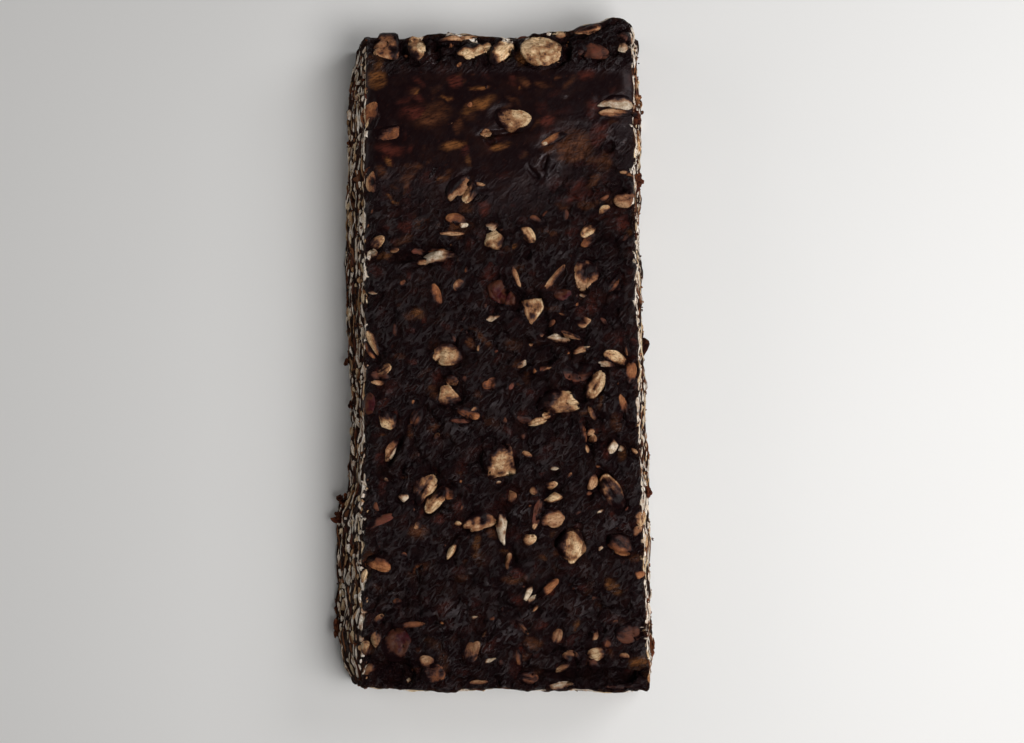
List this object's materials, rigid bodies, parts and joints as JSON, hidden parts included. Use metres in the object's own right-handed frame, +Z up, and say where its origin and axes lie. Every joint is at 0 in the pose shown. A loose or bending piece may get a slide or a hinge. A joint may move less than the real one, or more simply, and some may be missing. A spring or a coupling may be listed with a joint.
{
  "type": "granola bar",
  "caption": "Flat cut bar of rolled oats, chopped nuts, seeds and dried fruit set in dark chocolate, with leaning sides and crumbly edges.",
  "frame": {"origin": "on the flat underside, at the middle of the bar's box in plan", "axes": "+Y along the bar to its raised far end, +Z up through its thickness, +X across to the narrower right side wall"},
  "size_m": [0.06, 0.1256, 0.0164],
  "materials": {
    "dark_chocolate": "very dark brown chocolate, satin to slightly glossy, wrinkled",
    "oats": "rolled oat flakes, cream to toasted brown, matt, part soaked with chocolate",
    "nuts": "chopped nut and seed pieces, pale cream, matt",
    "dried_fruit": "dark red dried fruit, satin"
  },
  "bodies": {
    "root": {"granola_bar": "dark_chocolate"}
  },
  "joints": []
}
